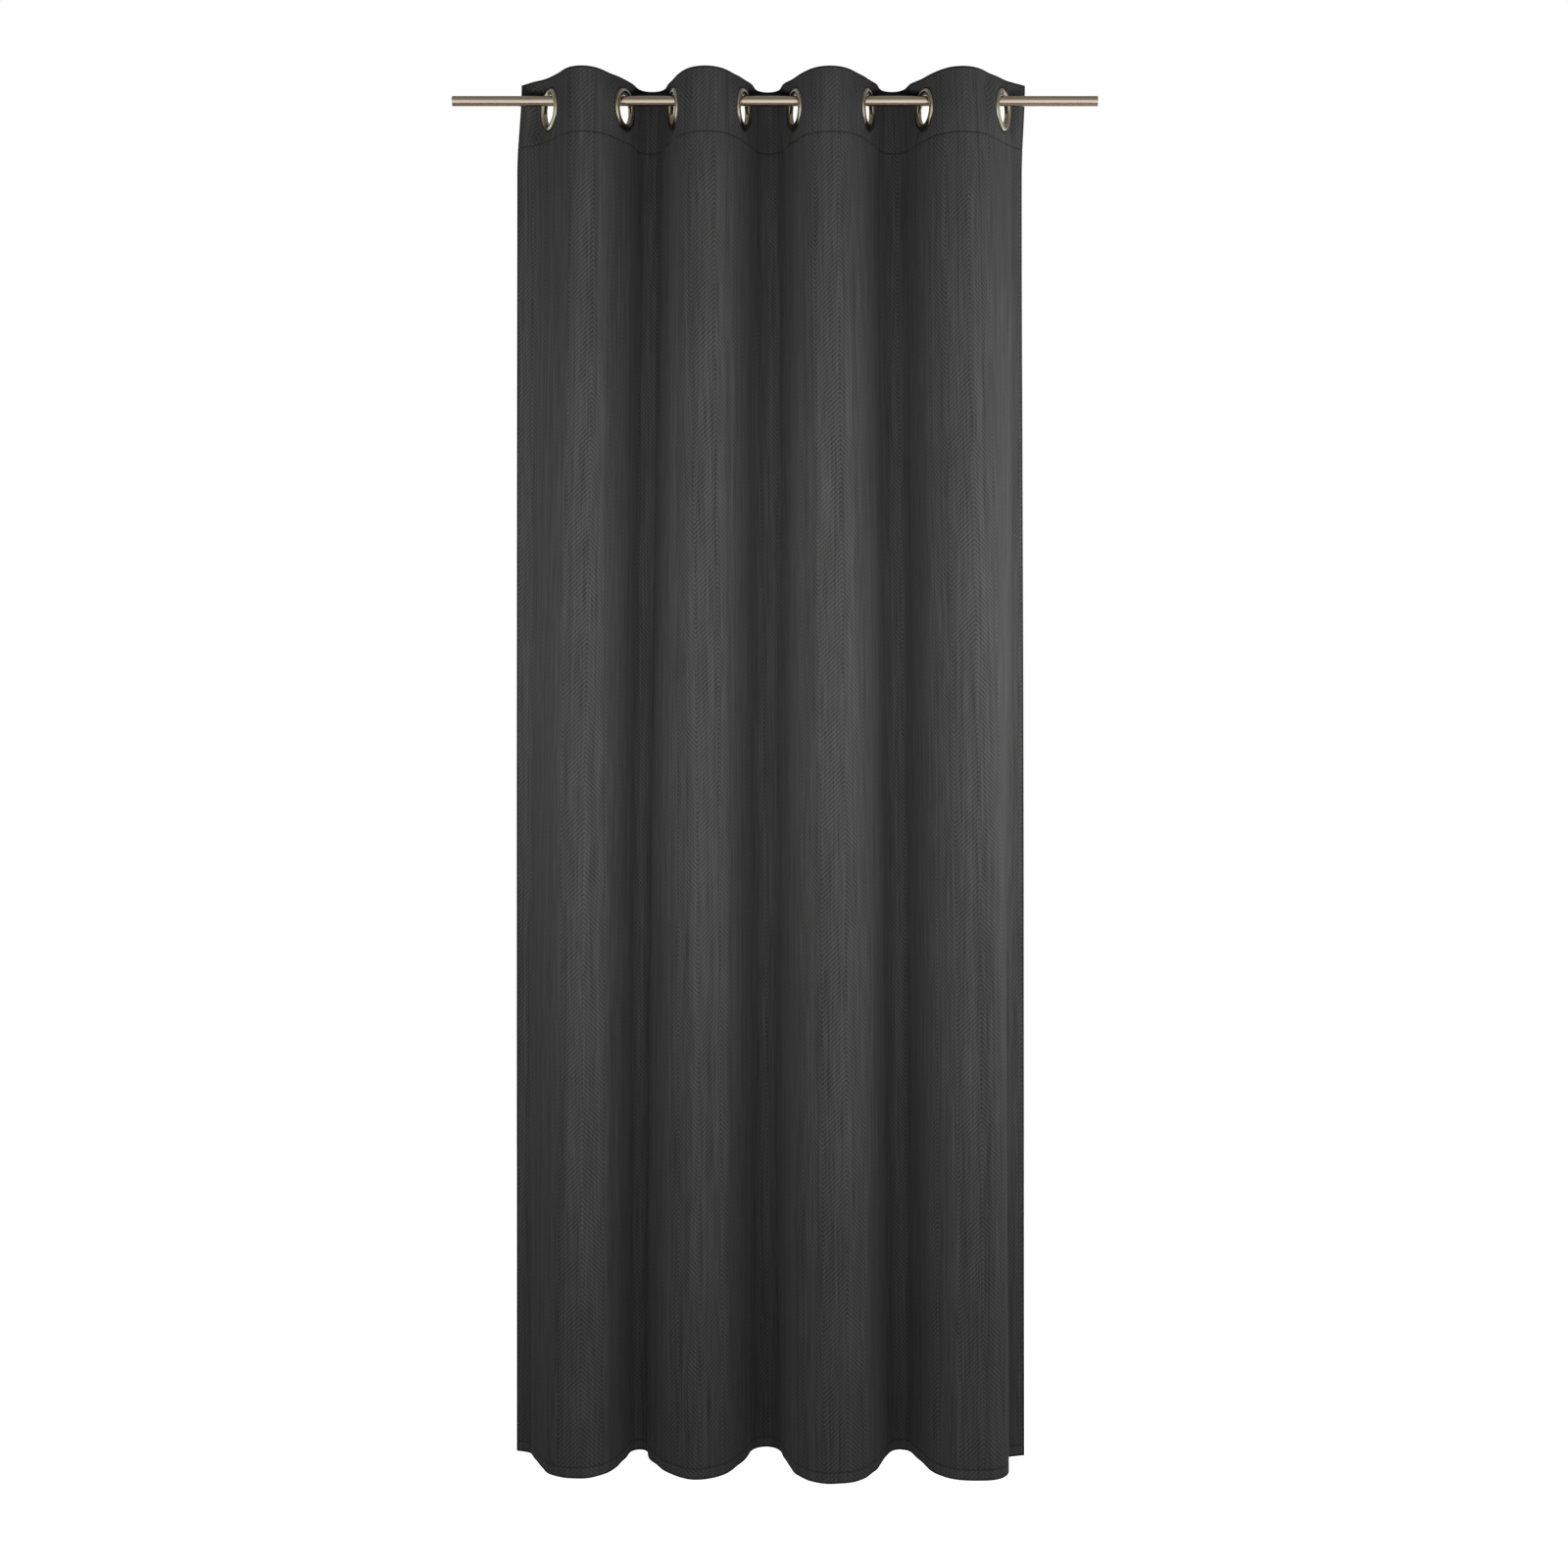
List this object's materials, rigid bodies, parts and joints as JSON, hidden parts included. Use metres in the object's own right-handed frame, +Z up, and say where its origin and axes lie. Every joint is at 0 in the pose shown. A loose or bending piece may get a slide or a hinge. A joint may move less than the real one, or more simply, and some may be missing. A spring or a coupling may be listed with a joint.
{
  "type": "eyelet room curtain panel",
  "caption": "Full-length dark woven curtain panel with metal eyelets, hanging in soft folds on a short stretch of round metal pole, and gathering and spreading along it.",
  "frame": {"origin": "middle of the pole's axis, where the pole is held", "axes": "+X along the pole, +Y away from the room towards the window, +Z up"},
  "size_m": [1, 0.1413, 2.15],
  "materials": {
    "cloth": "matte",
    "tape": "matte",
    "eyelet": "satin",
    "pole": "satin"
  },
  "bodies": {
    "pole": {"pole_tube": "pole"},
    "strip_1": {"curtain_cloth_1": "cloth", "header_tape_1": "tape", "eyelet_face_ring_1": "eyelet", "eyelet_back_ring_1": "eyelet"},
    "strip_2": {"curtain_cloth_2": "cloth", "header_tape_2": "tape", "eyelet_face_ring_2": "eyelet", "eyelet_back_ring_2": "eyelet"},
    "strip_3": {"curtain_cloth_3": "cloth", "header_tape_3": "tape", "eyelet_face_ring_3": "eyelet", "eyelet_back_ring_3": "eyelet"},
    "strip_4": {"curtain_cloth_4": "cloth", "header_tape_4": "tape", "eyelet_face_ring_4": "eyelet", "eyelet_back_ring_4": "eyelet"},
    "strip_5": {"curtain_cloth_5": "cloth", "header_tape_5": "tape", "eyelet_face_ring_5": "eyelet", "eyelet_back_ring_5": "eyelet"},
    "strip_6": {"curtain_cloth_6": "cloth", "header_tape_6": "tape", "eyelet_face_ring_6": "eyelet", "eyelet_back_ring_6": "eyelet"},
    "strip_7": {"curtain_cloth_7": "cloth", "header_tape_7": "tape", "eyelet_face_ring_7": "eyelet", "eyelet_back_ring_7": "eyelet"},
    "strip_8": {"curtain_cloth_8": "cloth", "header_tape_8": "tape", "eyelet_face_ring_8": "eyelet", "eyelet_back_ring_8": "eyelet"}
  },
  "joints": [
    {"name": "gather", "type": "hinge", "parent": "pole", "child": "strip_1", "pos_m": [-0.348, 0, 0], "axis": [0, 0, -1], "range_deg": [-6, 18]},
    {"name": "ridge_1", "type": "hinge", "parent": "strip_1", "child": "strip_2", "pos_m": [-0.291, -0.06179, 0], "axis": [0, 0, 1], "range_deg": [-12.5, 36.5]},
    {"name": "ridge_2", "type": "hinge", "parent": "strip_2", "child": "strip_3", "pos_m": [-0.195, 0.07669, 0], "axis": [0, 0, -1], "range_deg": [-12.5, 36.5]},
    {"name": "ridge_3", "type": "hinge", "parent": "strip_3", "child": "strip_4", "pos_m": [-0.103, -0.05763, 0], "axis": [0, 0, 1], "range_deg": [-12.5, 36.5]},
    {"name": "ridge_4", "type": "hinge", "parent": "strip_4", "child": "strip_5", "pos_m": [-0.009, 0.07541, 0], "axis": [0, 0, -1], "range_deg": [-12.5, 36.5]},
    {"name": "ridge_5", "type": "hinge", "parent": "strip_5", "child": "strip_6", "pos_m": [0.0875, -0.05681, 0], "axis": [0, 0, 1], "range_deg": [-12.5, 36.5]},
    {"name": "ridge_6", "type": "hinge", "parent": "strip_6", "child": "strip_7", "pos_m": [0.188, 0.07305, 0], "axis": [0, 0, -1], "range_deg": [-12.5, 36.5]},
    {"name": "ridge_7", "type": "hinge", "parent": "strip_7", "child": "strip_8", "pos_m": [0.2925, -0.05305, 0], "axis": [0, 0, 1], "range_deg": [-12.5, 36.5]}
  ],
  "couplings": [
    {"joint": "ridge_1", "follows": "gather", "ratio": 2},
    {"joint": "ridge_2", "follows": "gather", "ratio": 2},
    {"joint": "ridge_3", "follows": "gather", "ratio": 2},
    {"joint": "ridge_4", "follows": "gather", "ratio": 2},
    {"joint": "ridge_5", "follows": "gather", "ratio": 2},
    {"joint": "ridge_6", "follows": "gather", "ratio": 2},
    {"joint": "ridge_7", "follows": "gather", "ratio": 2}
  ]
}
